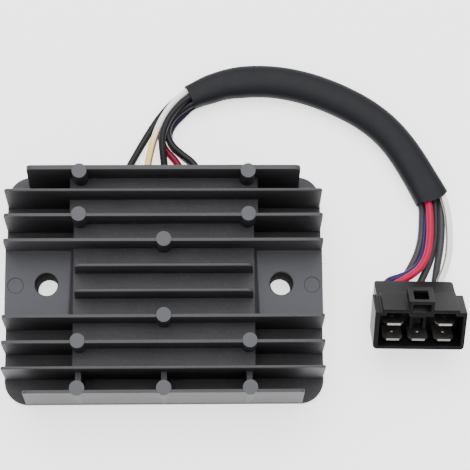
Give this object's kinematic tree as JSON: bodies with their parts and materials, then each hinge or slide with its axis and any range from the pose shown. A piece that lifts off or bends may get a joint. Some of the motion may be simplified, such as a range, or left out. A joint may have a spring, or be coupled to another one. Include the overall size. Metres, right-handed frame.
{
  "type": "voltage regulator rectifier",
  "caption": "Finned die-cast housing lying on its back, with a potted circuit, two bolt ears, a sleeved wire harness and a plug connector with tab terminals.",
  "frame": {"origin": "middle of the casting's mounting face", "axes": "+X along the fins, +Y across them towards the wires, +Z out of the mounting face towards the fin tips"},
  "size_m": [0.1456, 0.1126, 0.0275],
  "materials": {
    "casting": "as-cast aluminium alloy with a thin dark satin coating",
    "resin": "black epoxy resin, levelled by itself",
    "insulation": "amber film",
    "board": "green laminate",
    "package": "black moulded package",
    "ceramic_part": "fired ceramic body",
    "white_insulation": "satin extruded insulation",
    "black_insulation": "satin extruded insulation",
    "red_insulation": "satin extruded insulation",
    "blue_insulation": "satin extruded insulation",
    "sleeve": "soft extruded tubing with a satin skin",
    "moulding": "moulded, satin",
    "tinned_brass": "tin-plated stamping"
  },
  "bodies": {
    "root": {"heatsink_housing": "casting", "potting_compound": "resin", "insulating_sheet": "insulation", "circuit_board": "board", "thyristor_1": "package", "thyristor_2": "package", "thyristor_3": "package", "rectifier_diode_1": "package", "rectifier_diode_2": "package", "rectifier_diode_3": "package", "control_transistor": "package", "storage_capacitor": "ceramic_part", "zener_diode": "package", "sense_resistor": "ceramic_part", "gate_resistor": "ceramic_part", "wire_white": "white_insulation", "wire_black_1": "black_insulation", "wire_black_2": "black_insulation", "wire_black_3": "black_insulation", "wire_red": "red_insulation", "wire_blue": "blue_insulation", "harness_sleeve": "sleeve", "connector_housing": "moulding", "terminal_upper_left": "tinned_brass", "terminal_upper_right": "tinned_brass", "terminal_lower_left": "tinned_brass", "terminal_lower_middle": "tinned_brass", "terminal_lower_right": "tinned_brass"}
  },
  "joints": []
}
